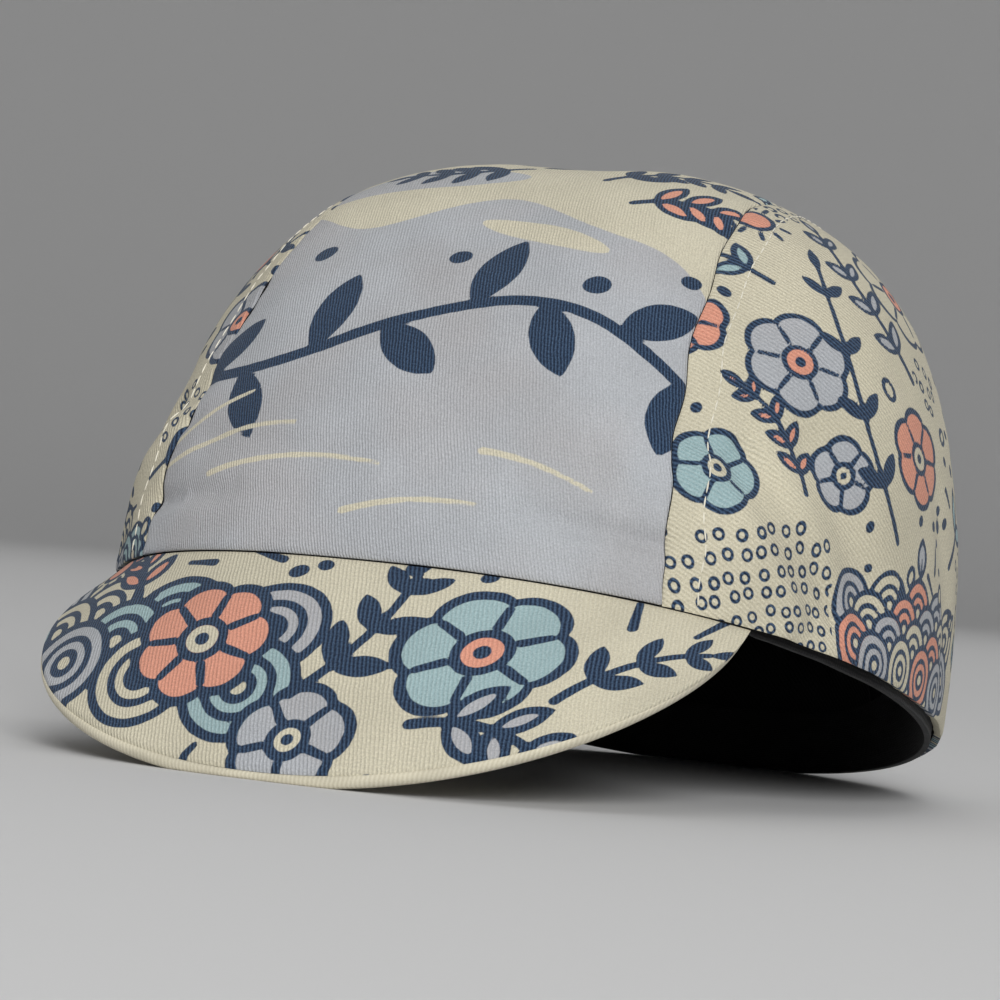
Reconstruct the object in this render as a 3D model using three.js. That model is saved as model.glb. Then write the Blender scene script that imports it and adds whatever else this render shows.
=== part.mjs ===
// A cotton cycling cap: three crown panels, a short peak in two layers, and a band inside the rim.
// Lengths are in millimetres. The shapes are worked out in the cap's own frame, where the rim is the
// plane z = 0, the peak points to -Y and the wearer's left is +X. The group at the end leans the cap
// back so that it stands on the edge of its peak and the back of its rim.
import * as THREE from "three";
import { mergeVertices } from "three/addons/utils/BufferGeometryUtils.js";

// Head opening and crown, on the outside of the cloth
const HALF_WIDTH = 80;
const BROW_REACH = 80;
const NAPE_REACH = 112;
const CROWN_HEIGHT = 101;
const CROWN_LEAN = 0.043;

// Squareness of the rim seen from above and of the crown seen from the side; 2 is an ellipse. Near
// the top, inside a share of the reach, the profile blends to one value all round
const PLAN = { front: 2.3, back: 1.9 };
const PROFILE = { side: 2.74, front: 1.92, back: 1.75, top: 2.18 };
const TOP_SHARE = 0.75;

// Half width of the centre panel: at the middle of the rim, and how it changes with y and z
const SEAM = { middle: 49.5, perY: -0.085, perZ: -0.116, bendY: -0.54, bendZ: 0.74 };

// Cloth; the groove along a seam is pressed into the outside only
const CLOTH = 1.6;
const BAND_CLOTH = 1.2;
const PIECE_GAP = 0.3;
const BAND_OUTSIDE = CLOTH + 0.5;
const BAND_CLEARS = 1.3;
const SEAM_GROOVE = { depth: 0.5, width: 2.4 };

// Soft folds in the cloth, the same on both sides: the line each one follows, its depth (a swell has
// a negative depth) and its half width
const FOLDS = [
  { name: "temple dent", from: [60, -54, 30], to: [73, -37, 7], depth: 1.5, width: 5 },
  { name: "temple swell", from: [71, -40, 32], to: [79, -20, 6], depth: -1.1, width: 8 },
  { name: "corner pucker", from: [50, -62, 36], to: [61, -54, 27], depth: 0.7, width: 3 },
  { name: "brow crease", from: [33, -74, 13], to: [54, -63, 11], depth: 0.8, width: 3 },
  { name: "nape crease", from: [30, 96, 22], to: [46, 86, 16], depth: 0.8, width: 5 },
];

// Broad swells and hollows of the crown, the same on both sides, with the same signs
const SWELLS = [
  { name: "flat top", at: [0, -10, 101], depth: 2, width: 26 },
  { name: "front of the seam top", at: [30, -30, 92], depth: -0.6, width: 22 },
  { name: "shoulder", at: [55, -45, 70], depth: 0.4, width: 22 },
  { name: "above the temple", at: [60, -55, 45], depth: 1.4, width: 20 },
  { name: "temple", at: [62, -56, 20], depth: -1.4, width: 16 },
  { name: "back of the seam top", at: [45, 20, 95], depth: -0.7, width: 26 },
  { name: "behind the side", at: [74, 45, 50], depth: 0.8, width: 24 },
];

// Peak: how far round the brow it runs, its reach at the middle, the roundness of its outline and
// the downward slope of its middle and of its ends
const PEAK = { spanDeg: 53.6, reach: 51, roundness: 2.2, slopeMiddleDeg: 55.7, slopeEndDeg: 39.7 };
const PEAK_CURL_DEG = 8;
const PEAK_SPREAD = 0.2;
const PEAK_SEAT = 0.8;

// Section of each peak layer from its root: distance past or short of the reach, and depth below
// the top of the peak
const UPPER_SECTION = [
  { at: "root", out: 0, depth: 0 },
  { at: "third", out: 0, depth: 0 },
  { at: "twoThirds", out: 0, depth: 0 },
  { at: "edge", out: -1.6, depth: 0.05 },
  { at: "edge", out: -0.7, depth: 0.3 },
  { at: "edge", out: -0.5, depth: 0.8 },
  { at: "edge", out: -0.9, depth: 1.2 },
  { at: "twoThirds", out: 0, depth: 1.2 },
  { at: "third", out: 0, depth: 1.2 },
  { at: "root", out: 0, depth: 1.2 },
];
const UNDER_SECTION = [
  { at: "root", out: 0, depth: 1.5 },
  { at: "third", out: 0, depth: 1.5 },
  { at: "twoThirds", out: 0, depth: 1.5 },
  { at: "edge", out: -0.7, depth: 1.55 },
  { at: "edge", out: 0.1, depth: 0.8 },
  { at: "edge", out: 0.8, depth: 0.8 },
  { at: "edge", out: 1.2, depth: 1.5 },
  { at: "edge", out: 0.9, depth: 2.5 },
  { at: "edge", out: -0.2, depth: 2.9 },
  { at: "twoThirds", out: 0, depth: 2.8 },
  { at: "third", out: 0, depth: 2.8 },
  { at: "root", out: 0, depth: 2.8 },
];
const SHARE = { root: 0, third: 0.36, twoThirds: 0.72, edge: 1 };

// Band inside the rim: how far it shows below the rim, and its top edge at the sides and at the nape
const BAND_SHOWS = 1.5;
const BAND_TOP = { side: 30, nape: 12 };
const BAND_LIFT_AT_PEAK = 0.3;

// Angles from the side of the head, negative to the brow: where the band drops below the rim past
// the end of the peak, and where its top edge comes down to the nape
const BAND_STEP_DEG = { from: -35, to: -27 };
const BAND_FALL_DEG = { from: 10, to: 70 };

// Lean on a floor, and the frame: the box is centred and the floor is z = 0
const REST_PITCH_DEG = 11.9;
const REST_LIFT = 23.3;
const REST_SHIFT = 0.3;

// Sampling of the surfaces
const ROWS = 48;
const CENTRE_COLUMNS = 20;
const CORNER_ROWS = 12;
const PEAK_COLUMNS = 48;
const BAND_COLUMNS = 96;
const BAND_SHARES = [0, 0.1, 0.4, 0.7, 1];
const BISECTIONS = 36;
const SEARCH_REACH = 170;
const HUB_Y = 12;
const STEP = 0.05;
const TURN_STEP = 0.05;
const TINY = 1e-12;
const WELD = 1e-4;

const COLOURS = { cream: 0xd9d0ae, greyBlue: 0xa7aab5, black: 0x101012 };
const ROUGHNESS = { cloth: 0.85, band: 0.95 };

const radians = (degrees) => (degrees * Math.PI) / 180;
const clamp01 = (t) => Math.min(1, Math.max(0, t));
const smooth = (t) => clamp01(t) ** 2 * (3 - 2 * clamp01(t));

// Less than 0 inside the crown, 0 on its skin and more outside
function crownLevel(x, y, z) {
  const leant = y - CROWN_LEAN * z;
  const front = leant < 0;
  const across = x / HALF_WIDTH;
  const along = leant / (front ? BROW_REACH : NAPE_REACH);
  const flat = Math.hypot(across, along) + TINY;
  const plan = front ? PLAN.front : PLAN.back;
  const c = Math.abs(across) / flat;
  const s = Math.abs(along) / flat;
  const edge = (c ** plan + s ** plan) ** (-1 / plan);
  const lengthwise = s * s;
  const around = PROFILE.side * (1 - lengthwise) + (front ? PROFILE.front : PROFILE.back) * lengthwise;
  const profile = PROFILE.top + (around - PROFILE.top) * smooth(flat / edge / TOP_SHARE);
  return (flat / edge) ** profile + Math.max(0, z / CROWN_HEIGHT) ** profile - 1;
}

// The distance at which a path that starts inside the crown crosses its skin
function crossing(path) {
  let inside = 0;
  let outside = SEARCH_REACH;
  for (let i = 0; i < BISECTIONS; i++) {
    const middle = (inside + outside) / 2;
    const p = path(middle);
    if (crownLevel(p.x, p.y, p.z) < 0) inside = middle;
    else outside = middle;
  }
  return path((inside + outside) / 2);
}

function crownNormal(p) {
  const slope = (dx, dy, dz) =>
    crownLevel(p.x + dx, p.y + dy, p.z + dz) - crownLevel(p.x - dx, p.y - dy, p.z - dz);
  const n = new THREE.Vector3(slope(STEP, 0, 0), slope(0, STEP, 0), p.z > STEP ? slope(0, 0, STEP) : 0);
  return n.normalize();
}

function seamX(y, z) {
  const bend = SEAM.bendY * (y / 100) ** 2 + SEAM.bendZ * (z / 100) ** 2;
  return SEAM.middle + SEAM.perY * y + SEAM.perZ * z + bend;
}

function foldDepth(fold, p, spread) {
  const from = new THREE.Vector3(...fold.from);
  const line = new THREE.Line3(from, new THREE.Vector3(...fold.to));
  const folded = new THREE.Vector3(Math.abs(p.x), p.y, p.z);
  const nearest = line.closestPointToPoint(folded, true, new THREE.Vector3());
  return fold.depth * Math.exp(-((nearest.distanceTo(folded) / (fold.width * spread)) ** 2));
}

function swellDepth(p) {
  const folded = new THREE.Vector3(Math.abs(p.x), p.y, p.z);
  const one = ({ at, depth, width }) =>
    depth * Math.exp(-((folded.distanceTo(new THREE.Vector3(...at)) / width) ** 2));
  return SWELLS.reduce((sum, swell) => sum + one(swell), 0);
}

function seamGroove(p) {
  const offSeam = (Math.abs(p.x) - seamX(p.y, p.z)) / SEAM_GROOVE.width;
  return SEAM_GROOVE.depth * Math.exp(-offSeam * offSeam);
}

// The point at a depth in the cloth, under a point of the plain skin
function below(p, depth) {
  const start = swellDepth(p) + (depth === 0 ? seamGroove(p) : 0);
  const sink = FOLDS.reduce((sum, fold) => sum + foldDepth(fold, p, 1), start);
  return p.clone().addScaledVector(crownNormal(p), -depth - sink);
}

// The band bridges the raised folds and clears the dents
function behind(p, depth) {
  const dents = FOLDS.filter((fold) => fold.depth > 0);
  const sink = dents.reduce((sum, fold) => sum + foldDepth(fold, p, BAND_CLEARS), swellDepth(p));
  return p.clone().addScaledVector(crownNormal(p), -depth - sink);
}

// The skin at an angle from the brow over the top to the nape, at a share of the way to the seam
function lengthwisePoint(angle, share, seamOffset) {
  return crossing((reach) => {
    const y = HUB_Y - reach * Math.cos(angle);
    const z = reach * Math.max(0, Math.sin(angle) - TINY);
    return new THREE.Vector3(share * (seamX(y, z) + seamOffset), y, z);
  });
}

// The skin at a height, straight out from the hub through a point of the rim
function skinAtHeight(rim, height) {
  const way = new THREE.Vector3(rim.x, rim.y - HUB_Y, 0).normalize();
  return crossing((reach) => new THREE.Vector3(way.x * reach, HUB_Y + way.y * reach, height));
}

function skinOutFrom(p) {
  const way = new THREE.Vector3(p.x, p.y - HUB_Y, Math.max(0, p.z)).normalize();
  return crossing((reach) => new THREE.Vector3(way.x * reach, HUB_Y + way.y * reach, way.z * reach));
}

// A grid of points by row and column
function grid(rows, columns, at) {
  return Array.from({ length: rows + 1 }, (_, i) =>
    Array.from({ length: columns + 1 }, (_, j) => at(i / rows, j / columns)),
  );
}

function addQuad(faces, a, b, c, d) {
  faces.push(a, b, c, a, c, d);
}

// Makes one mesh from points and faces, welding equal points and leaving out flat faces
function solid(name, points, faces, colour, roughness) {
  const shape = new THREE.BufferGeometry();
  shape.setAttribute("position", new THREE.Float32BufferAttribute(points.flatMap((p) => [p.x, p.y, p.z]), 3));
  shape.setIndex(faces);
  const welded = mergeVertices(shape, WELD);
  const index = welded.index.array;
  const kept = [];
  for (let i = 0; i < index.length; i += 3) {
    const [a, b, c] = [index[i], index[i + 1], index[i + 2]];
    if (a !== b && b !== c && c !== a) kept.push(a, b, c);
  }
  welded.setIndex(kept);
  welded.computeVertexNormals();
  const material = new THREE.MeshStandardMaterial({ color: colour, roughness, metalness: 0 });
  material.name = name;
  const mesh = new THREE.Mesh(welded, material);
  mesh.name = name;
  return mesh;
}

// A closed sheet between an outer and an inner grid
function sheetFaces(rows, columns) {
  const faces = [];
  const wide = columns + 1;
  const inner = (rows + 1) * wide;
  for (let i = 0; i < rows; i++) {
    for (let j = 0; j < columns; j++) {
      const k = i * wide + j;
      addQuad(faces, k, k + 1, k + wide + 1, k + wide);
      addQuad(faces, inner + k, inner + k + wide, inner + k + wide + 1, inner + k + 1);
    }
  }
  const rim = [];
  for (let j = 0; j < columns; j++) rim.push(j);
  for (let i = 0; i < rows; i++) rim.push(i * wide + columns);
  for (let j = columns; j > 0; j--) rim.push(rows * wide + j);
  for (let i = rows; i > 0; i--) rim.push(i * wide);
  rim.forEach((a, n) => {
    const b = rim[(n + 1) % rim.length];
    addQuad(faces, b, a, inner + a, inner + b);
  });
  return faces;
}

function flipped(faces) {
  const turned = [];
  for (let i = 0; i < faces.length; i += 3) turned.push(faces[i], faces[i + 2], faces[i + 1]);
  return turned;
}

function clothPanel(name, skin, colour, mirrored) {
  const points = [0, CLOTH].flatMap((depth) => skin.flat().map((p) => below(p, depth)));
  if (mirrored) points.forEach((p) => (p.x = -p.x));
  const faces = sheetFaces(skin.length - 1, skin[0].length - 1);
  return solid(name, points, mirrored ? flipped(faces) : faces, colour, ROUGHNESS.cloth);
}

// Centre panel: from the brow over the top to the nape, between the two seams
function centrePanel() {
  const skin = grid(ROWS, CENTRE_COLUMNS, (row, column) =>
    lengthwisePoint(row * Math.PI, 2 * column - 1, -PIECE_GAP / 2),
  );
  return clothPanel("crown_center_panel", skin, COLOURS.greyBlue, false);
}

// Side panel: a patch between the seam and the rim, blended from its four edges and laid on the skin
function sidePanelSkin() {
  const seam = Array.from({ length: ROWS + 1 }, (_, i) =>
    lengthwisePoint((i / ROWS) * Math.PI, 1, PIECE_GAP / 2),
  );
  const columns = ROWS - 2 * CORNER_ROWS;
  const front = (i) => seam[i];
  const back = (i) => seam[ROWS - i];
  const top = (j) => seam[CORNER_ROWS + j];
  const angle = (p) => Math.atan2(p.y - HUB_Y, p.x);
  const first = angle(seam[0]);
  const last = angle(seam[ROWS]);
  const rim = (j) => {
    const turn = first + ((last - first) * j) / columns;
    return skinOutFrom(new THREE.Vector3(Math.cos(turn), HUB_Y + Math.sin(turn), 0));
  };
  return grid(CORNER_ROWS, columns, (up, along) => {
    const i = Math.round(up * CORNER_ROWS);
    const j = Math.round(along * columns);
    const p = new THREE.Vector3();
    p.addScaledVector(rim(j), 1 - up).addScaledVector(top(j), up);
    p.addScaledVector(front(i), 1 - along).addScaledVector(back(i), along);
    p.addScaledVector(seam[0], -(1 - up) * (1 - along)).addScaledVector(seam[ROWS], -(1 - up) * along);
    p.addScaledVector(top(0), -up * (1 - along)).addScaledVector(top(columns), -up * along);
    return skinOutFrom(p);
  });
}

// A point of the rim at an angle from the wearer's left, on the outside of the cloth
function rimPoint(angle) {
  const c = Math.cos(angle);
  const s = Math.sin(angle);
  const plan = s < 0 ? PLAN.front : PLAN.back;
  const edge = (Math.abs(c) ** plan + Math.abs(s) ** plan) ** (-1 / plan);
  return new THREE.Vector3(HALF_WIDTH * c * edge, (s < 0 ? BROW_REACH : NAPE_REACH) * s * edge, 0);
}

// The peak at a share of the way to one end, a distance out from its root and a depth below its top
function peakPoint(side, distance, depth) {
  const around = radians(-90 + PEAK.spanDeg * side);
  const rim = rimPoint(around);
  const root = rim.clone().addScaledVector(crownNormal(rim), -PEAK_SEAT);
  root.z = -PIECE_GAP;
  const fan = radians(PEAK.spanDeg * side * PEAK_SPREAD);
  const outward = new THREE.Vector3(Math.sin(fan), -Math.cos(fan), 0);
  const middle = PEAK.slopeMiddleDeg + (PEAK.slopeEndDeg - PEAK.slopeMiddleDeg) * side * side;
  const slope = radians(middle + PEAK_CURL_DEG * (distance / PEAK.reach - 0.5));
  const p = root.addScaledVector(outward, distance * Math.cos(slope));
  p.z -= distance * Math.sin(slope);
  const along = rimPoint(around + TURN_STEP).sub(rimPoint(around - TURN_STEP)).normalize();
  const down = outward.multiplyScalar(Math.cos(slope));
  down.z = -Math.sin(slope);
  const up = down.cross(along).normalize();
  return p.addScaledVector(up, -depth);
}

function peakLayer(name, section, colour) {
  const columns = Array.from({ length: PEAK_COLUMNS + 1 }, (_, i) =>
    Math.sin((Math.PI / 2) * ((2 * i) / PEAK_COLUMNS - 1)),
  );
  const points = columns.flatMap((side) => {
    const reach = PEAK.reach * (1 - Math.abs(side) ** PEAK.roundness) ** (1 / PEAK.roundness);
    return section.map(({ at, out, depth }) =>
      peakPoint(side, Math.max(0, SHARE[at] * reach + out), depth),
    );
  });
  const round = section.length;
  const faces = [];
  for (let i = 0; i < PEAK_COLUMNS; i++) {
    for (let j = 0; j < round; j++) {
      const k = i * round;
      const next = (j + 1) % round;
      addQuad(faces, k + j, k + next, k + round + next, k + round + j);
    }
  }
  for (const [first, turn] of [[0, 1], [PEAK_COLUMNS * round, -1]]) {
    const ring = section.map((_, j) => points[first + j]);
    const middle = ring.reduce((sum, p) => sum.add(p), new THREE.Vector3()).divideScalar(round);
    points.push(middle);
    for (let j = 0; j < round; j++) {
      const pair = [first + j, first + ((j + 1) % round)];
      if (turn > 0) pair.reverse();
      faces.push(points.length - 1, ...pair);
    }
  }
  return solid(name, points, faces, colour, ROUGHNESS.cloth);
}

// Band: a ring inside the rim, deepest at the sides, lifted clear where the peak joins the rim
function bandEdges(fromSide) {
  const through = ({ from, to }) => smooth((fromSide - from) / (to - from));
  const low = through(BAND_STEP_DEG);
  const nape = through(BAND_FALL_DEG);
  return {
    bottom: BAND_LIFT_AT_PEAK - (BAND_LIFT_AT_PEAK + BAND_SHOWS) * low,
    top: BAND_TOP.side + (BAND_TOP.nape - BAND_TOP.side) * nape,
  };
}

function sweatband() {
  const round = 2 * BAND_SHARES.length;
  const points = [];
  for (let i = 0; i < BAND_COLUMNS; i++) {
    const degrees = -90 + (360 * i) / BAND_COLUMNS;
    const { bottom, top } = bandEdges(degrees > 90 ? 180 - degrees : degrees);
    const rim = rimPoint(radians(degrees));
    const at = (share, depth) => {
      const z = bottom + (top - bottom) * share;
      const p = behind(skinAtHeight(rim, Math.max(z, 0)), depth);
      p.z = z;
      return p;
    };
    BAND_SHARES.forEach((share) => points.push(at(share, BAND_OUTSIDE)));
    BAND_SHARES.toReversed().forEach((share) => points.push(at(share, BAND_OUTSIDE + BAND_CLOTH)));
  }
  const faces = [];
  for (let i = 0; i < BAND_COLUMNS; i++) {
    const k = i * round;
    const n = ((i + 1) % BAND_COLUMNS) * round;
    for (let j = 0; j < round; j++) {
      const next = (j + 1) % round;
      addQuad(faces, k + j, n + j, n + next, k + next);
    }
  }
  return solid("sweatband", points, faces, COLOURS.black, ROUGHNESS.band);
}

// The cloth that touches the floor is pressed flat on it
function pressOnFloor(mesh) {
  const position = mesh.geometry.getAttribute("position");
  for (let i = 0; i < position.count; i++) position.setZ(i, Math.max(0, position.getZ(i)));
}

function cap() {
  const side = sidePanelSkin();
  const meshes = [
    centrePanel(),
    clothPanel("crown_left_panel", side, COLOURS.cream, false),
    clothPanel("crown_right_panel", side, COLOURS.cream, true),
    peakLayer("peak_upper", UPPER_SECTION, COLOURS.cream),
    peakLayer("peak_under", UNDER_SECTION, COLOURS.cream),
    sweatband(),
  ];
  const stand = new THREE.Matrix4().makeRotationX(radians(-REST_PITCH_DEG));
  stand.premultiply(new THREE.Matrix4().makeTranslation(0, REST_SHIFT, REST_LIFT));
  const group = new THREE.Group();
  group.name = "cycling_cap";
  for (const mesh of meshes) {
    mesh.geometry.applyMatrix4(stand);
    pressOnFloor(mesh);
    group.add(mesh);
  }
  return group;
}

export default cap();
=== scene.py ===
# %% [markdown]
# # A printed cotton cycling cap
# The cap is five pieces of cloth and one band: a long centre panel that runs from the brow over the
# top to the nape, a panel on each side of it, a short peak of two layers and a dark band inside the
# rim. All of them are thin sheets, so each one here starts as a flat grid that is laid on the form of
# the cap, gets a wall from a modifier and a print from values kept on its points. Carving the cap from
# a block or draping it by simulation would also work, but neither keeps the cloth's own millimetres,
# which the print and the weave need.

import math

import bmesh
import bpy
import numpy as np
from mathutils import Matrix, Vector


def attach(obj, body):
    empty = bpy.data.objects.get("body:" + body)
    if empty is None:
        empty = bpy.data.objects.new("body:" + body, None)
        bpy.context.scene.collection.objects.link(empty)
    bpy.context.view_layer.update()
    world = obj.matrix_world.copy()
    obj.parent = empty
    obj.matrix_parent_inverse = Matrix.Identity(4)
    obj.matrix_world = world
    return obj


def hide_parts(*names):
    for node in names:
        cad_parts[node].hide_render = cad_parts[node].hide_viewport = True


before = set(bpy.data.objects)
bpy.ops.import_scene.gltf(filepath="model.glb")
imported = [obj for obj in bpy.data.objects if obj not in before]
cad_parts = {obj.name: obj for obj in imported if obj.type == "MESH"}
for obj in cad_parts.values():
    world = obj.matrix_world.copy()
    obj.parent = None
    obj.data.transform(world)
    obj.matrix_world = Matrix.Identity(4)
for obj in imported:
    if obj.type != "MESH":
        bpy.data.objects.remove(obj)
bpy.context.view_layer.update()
print("nodes:", sorted(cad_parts))

# %% [markdown]
# ## The form under the cloth
# A cap has no drawing with a few radii: it is a rounded box without a flat side. Here the skin is
# where a level function is zero, with its own squareness for the rim and for the profile. Such a form
# has no cracks or poles, and every piece can be laid on it by asking where a line from the middle of
# the hollow meets the skin. Lengths are in millimetres, the rim is z = 0 and the peak points to -y.

# %% Form of the crown
HALF_WIDTH, BROW_REACH, NAPE_REACH, CROWN_HEIGHT, CROWN_LEAN = 80, 80, 112, 101, 0.043
PLAN_FRONT, PLAN_BACK = 2.3, 1.9
SIDE_PROFILE, FRONT_PROFILE, BACK_PROFILE, TOP_PROFILE, TOP_SHARE = 2.74, 1.92, 1.75, 2.18, 0.75
HUB = np.array([0.0, 12.0, 0.0])


def smooth(t):
    t = np.clip(t, 0, 1)
    return t * t * (3 - 2 * t)


def plan_edge(c, s, back):
    square = np.where(back, PLAN_BACK, PLAN_FRONT)
    return (np.abs(c) ** square + np.abs(s) ** square) ** (-1 / square)


def crown_level(p):
    """Less than 0 inside the crown, 0 on its skin and more outside."""
    leant = p[..., 1] - CROWN_LEAN * p[..., 2]
    back = leant >= 0
    across, along = p[..., 0] / HALF_WIDTH, leant / np.where(back, NAPE_REACH, BROW_REACH)
    flat = np.hypot(across, along) + 1e-12
    lengthwise = (along / flat) ** 2
    around = SIDE_PROFILE * (1 - lengthwise) + np.where(back, BACK_PROFILE, FRONT_PROFILE) * lengthwise
    reach = flat / plan_edge(across / flat, along / flat, back)
    profile = TOP_PROFILE + (around - TOP_PROFILE) * smooth(reach / TOP_SHARE)
    return reach**profile + np.clip(p[..., 2] / CROWN_HEIGHT, 0, None) ** profile - 1


def crossing(path, shape):
    """The point where each path that starts inside the crown leaves it, found by halving."""
    inside, outside = np.zeros(shape), np.full(shape, 170.0)
    for _ in range(30):
        middle = (inside + outside) / 2
        within = crown_level(path(middle)) < 0
        inside, outside = np.where(within, middle, inside), np.where(within, outside, middle)
    return path((inside + outside) / 2)


def crown_normal(p, step=0.05):
    slopes = [crown_level(p + step * axis) - crown_level(p - step * axis) for axis in np.eye(3)]
    n = np.stack(slopes, -1)
    n[..., 2] *= p[..., 2] > step
    return n / np.linalg.norm(n, axis=-1, keepdims=True)


def out_from_hub(p):
    """Moves points out or in along their line from the hub until they lie on the skin."""
    way = p - HUB
    way[..., 2] = np.clip(way[..., 2], 0, None)
    way /= np.linalg.norm(way, axis=-1, keepdims=True)
    return crossing(lambda reach: HUB + way * reach[..., None], p.shape[:-1])


top = out_from_hub(np.array([[0.0, 12.0, 50.0]]))[0]
print("the skin above the hub is", round(float(top[2]), 1), "mm above the rim")

# %% [markdown]
# ## The seams
# Two long seams join the three panels. A seam on a cap isn't a plane cut: it closes in towards the
# nape and towards the top. One short polynomial says how far from the middle it runs, with a little
# unevenness where the cloth was fed under the needle by hand. The same formula gives both edges of
# the centre panel and the inner edges of the side panels, so they meet.

# %% Seam lines
SEAM_GAP = 0.02


def seam_x(y, z):
    """How far the seam runs from the middle."""
    sewn = 0.28 * np.sin(0.43 * z - 0.37 * y) + 0.2 * np.sin(0.19 * z + 0.24 * y + 1)
    drawn = 49.5 - 0.085 * y - 0.116 * z - 0.54 * (y / 100) ** 2 + 0.74 * (z / 100) ** 2
    return drawn + sewn * smooth(z / 12)


def lengthwise(angle, share, offset):
    """The skin at an angle from the brow over the top to the nape, at a share of the way to the seam."""

    def path(reach):
        y = HUB[1] - reach * np.cos(angle)
        z = reach * np.clip(np.sin(angle) - 1e-12, 0, None)
        return np.stack([share * (seam_x(y, z) + offset), y, z], -1)

    return crossing(path, np.broadcast(angle, share).shape)


brow_corner = lengthwise(np.zeros(1), np.ones(1), 0)[0]
print("the seam meets the brow", round(float(brow_corner[0]), 1), "mm from the middle")

# %% [markdown]
# ## Dents, swells and puckers
# Worn cotton isn't the plain form. It dents at the temples, swells behind them, creases above the
# peak, and a seam or a hem draws the cloth into small puckers across the stitching. Each is a bell
# curve or a ripple that moves the skin along its normal, so the wall keeps its thickness.

# %% Folds
FOLDS = [  # from, to, depth, half width
    ("temple dent", (60, -54, 30), (73, -37, 7), 1.5, 5),
    ("temple swell", (71, -40, 32), (79, -20, 6), -1.1, 8),
    ("corner pucker", (50, -62, 36), (61, -54, 27), 0.7, 3),
    ("brow crease", (33, -74, 13), (54, -63, 11), 0.8, 3),
    ("nape crease", (30, 96, 22), (46, 86, 16), 0.8, 5),
]
CREASES = [  # finer ones, in the cloth only: from, to, depth, half width
    ("temple crease", (61, -52, 34), (76, -31, 7), 1.4, 2.2),
    ("temple ridge", (57, -57, 28), (71, -41, 5), -1.6, 4.0),
    ("side hollow", (71, -39, 36), (78, -22, 12), 3.4, 7.6),
    ("brow fold", (6, -79, 19), (42, -70, 22), 0.6, 4.0),
    ("brow furrow", (14, -78.3, 11), (31, -75, 11.3), 0.4, 3.0),
    ("brow furrow, middle", (36, -73.4, 11.3), (43, -70.1, 11.3), 0.9, 2.3),
    ("brow furrow, end", (47, -67.8, 11.2), (52, -64.5, 10.7), 1.2, 1.9),
    ("pucker at the seam", (48.5, -64, 28.2), (51, -62.8, 26.4), 0.6, 1.8),
    ("hem lip at the peak", (69, -47, -1), (71, -44, 1), -0.7, 2.6),
    ("side fold", (78, 8, 40), (79, 26, 12), 0.7, 5.0),
]
SWELLS = [  # at, depth, half width
    ("flat top", (0, -10, 101), 2, 26),
    ("front of the seam top", (30, -30, 92), -0.6, 22),
    ("shoulder", (55, -45, 70), 0.4, 22),
    ("above the temple", (60, -55, 45), 1.4, 20),
    ("temple", (62, -56, 20), -1.4, 16),
    ("back of the seam top", (45, 20, 95), -0.7, 26),
    ("behind the side", (74, 45, 50), 0.8, 24),
]


def mirrored(p):
    """Points of the wearer's right side, moved to the left, where the folds are listed."""
    return p * np.where(p[..., :1] < 0, [-1, 1, 1], [1, 1, 1])


def swell_depth(p):
    q = mirrored(p)
    return sum(d * np.exp(-np.sum(((q - at) / w) ** 2, -1)) for _, at, d, w in SWELLS)


def fold_depth(p, folds):
    q = mirrored(p)
    total = np.zeros(p.shape[:-1])
    for _, start, end, depth, width in folds:
        a, line = np.array(start, float), np.array(end, float) - np.array(start, float)
        t = np.clip(((q - a) @ line) / (line @ line), 0, 1)
        total += depth * np.exp(-np.sum(((q - a - t[..., None] * line) / width) ** 2, -1))
    return total


UNEVEN_WAVES = 7
CENTRE_SEED, SIDE_SEED = 11, 23


def uneven(p, seed, size):
    """A quiet, repeatable unevenness between -1 and 1: a few waves in seeded directions."""
    rng = np.random.default_rng(seed)
    total = np.zeros(p.shape[:-1])
    for _ in range(UNEVEN_WAVES):
        way = rng.normal(size=3)
        way *= rng.uniform(0.7, 1.5) * 2 * math.pi / size / np.linalg.norm(way)
        total += np.sin(p @ way + rng.uniform(0, 6.3))
    return total / UNEVEN_WAVES**0.5 / 1.4


def seam_puckers(p, seed):
    """Small ripples across the stitching, which die out a finger's width from the seam and the hem."""
    off_seam = np.abs(np.abs(p[..., 0]) - seam_x(p[..., 1], p[..., 2]))
    ripple = uneven(p * np.array([0.15, 1, 1]), seed, 7.5)
    return 0.16 * ripple * (np.exp(-((off_seam / 5) ** 2)) + 0.8 * np.exp(-((p[..., 2] / 5) ** 2)))


def cloth_skin(p, seed, off_edge, roll=0.42):
    """The outside of a panel: the plain skin with its folds and puckers, and an edge that rolls under."""
    sink = swell_depth(p) + fold_depth(p, FOLDS + CREASES) + seam_puckers(p, seed)
    sink = sink + 0.2 * uneven(p, seed + 1, 34) + 0.07 * uneven(p, seed + 2, 13)
    sink = sink + roll * np.clip(1 - off_edge / 1.4, 0, 1) ** 2
    return p - crown_normal(p) * sink[..., None]


# %% [markdown]
# ## Standing on the floor
# The rim isn't level when the cap is put down: it stands on the edge of its peak and on the back of
# its rim, leaning back. Everything is shaped in the cap's own frame and turned once, when the points
# are written into the mesh, so that a finished object stays at the origin, unturned.

# %% Turn into the frame, in metres
PITCH = math.radians(11.9)
STAND = Matrix.Translation((0, 0.3, 23.3)) @ Matrix.Rotation(-PITCH, 4, "X")


def on_floor(p):
    turn = np.array(STAND)
    q = p.reshape(-1, 3) @ turn[:3, :3].T + turn[:3, 3]
    q[:, 2] = np.clip(q[:, 2], 0, None)
    return q / 1000


print("the rim leans back", round(math.degrees(PITCH), 1), "degrees")
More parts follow.
